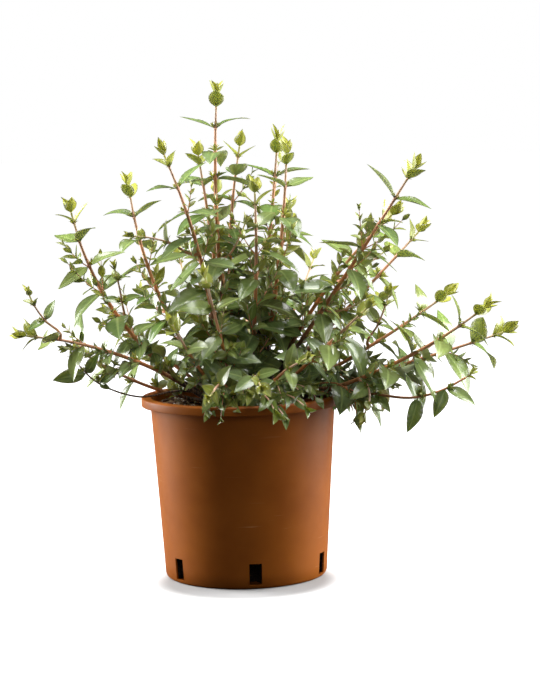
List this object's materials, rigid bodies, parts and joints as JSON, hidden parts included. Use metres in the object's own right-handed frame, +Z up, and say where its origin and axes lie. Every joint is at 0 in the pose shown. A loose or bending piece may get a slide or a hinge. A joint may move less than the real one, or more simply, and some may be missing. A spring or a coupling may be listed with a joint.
{
  "type": "potted abelia",
  "caption": "Young evergreen abelia shrub with spreading leafy canes, rooted in a tapered round nursery pot that stands on a floor, shelf or table.",
  "frame": {"origin": "middle of the pot's flat underside", "axes": "+Z up the pot's axis; the shrub's rounder face looks towards -Y and its longest low canes reach out to +X"},
  "size_m": [0.4747, 0.3099, 0.4658],
  "materials": {
    "pot_plastic": "satin moulded terracotta-coloured polypropylene",
    "potting_soil": "matt, crumbly moist peat and bark compost with white perlite grains",
    "woody_bark": "matt, dark brown fissured bark",
    "leafy_cane": "glossy dark green leaves, yellow-green at the tips, on satin red-brown stems"
  },
  "bodies": {
    "root": {"pot": "pot_plastic", "potting_soil": "potting_soil", "crown": "woody_bark", "cane_01": "leafy_cane", "cane_02": "leafy_cane", "cane_03": "leafy_cane", "cane_04": "leafy_cane", "cane_05": "leafy_cane", "cane_06": "leafy_cane", "cane_07": "leafy_cane", "cane_08": "leafy_cane", "cane_09": "leafy_cane", "cane_10": "leafy_cane", "cane_11": "leafy_cane", "cane_12": "leafy_cane", "cane_13": "leafy_cane", "cane_14": "leafy_cane", "cane_15": "leafy_cane", "cane_16": "leafy_cane", "cane_17": "leafy_cane", "cane_18": "leafy_cane", "cane_19": "leafy_cane", "cane_20": "leafy_cane", "cane_21": "leafy_cane", "cane_22": "leafy_cane", "cane_23": "leafy_cane", "cane_24": "leafy_cane", "cane_25": "leafy_cane", "cane_26": "leafy_cane", "cane_27": "leafy_cane", "cane_28": "leafy_cane", "cane_29": "leafy_cane", "cane_30": "leafy_cane", "shoot_01": "leafy_cane", "shoot_02": "leafy_cane", "shoot_03": "leafy_cane", "shoot_04": "leafy_cane", "shoot_05": "leafy_cane", "shoot_06": "leafy_cane", "shoot_07": "leafy_cane", "shoot_08": "leafy_cane", "shoot_09": "leafy_cane", "shoot_10": "leafy_cane"}
  },
  "joints": []
}
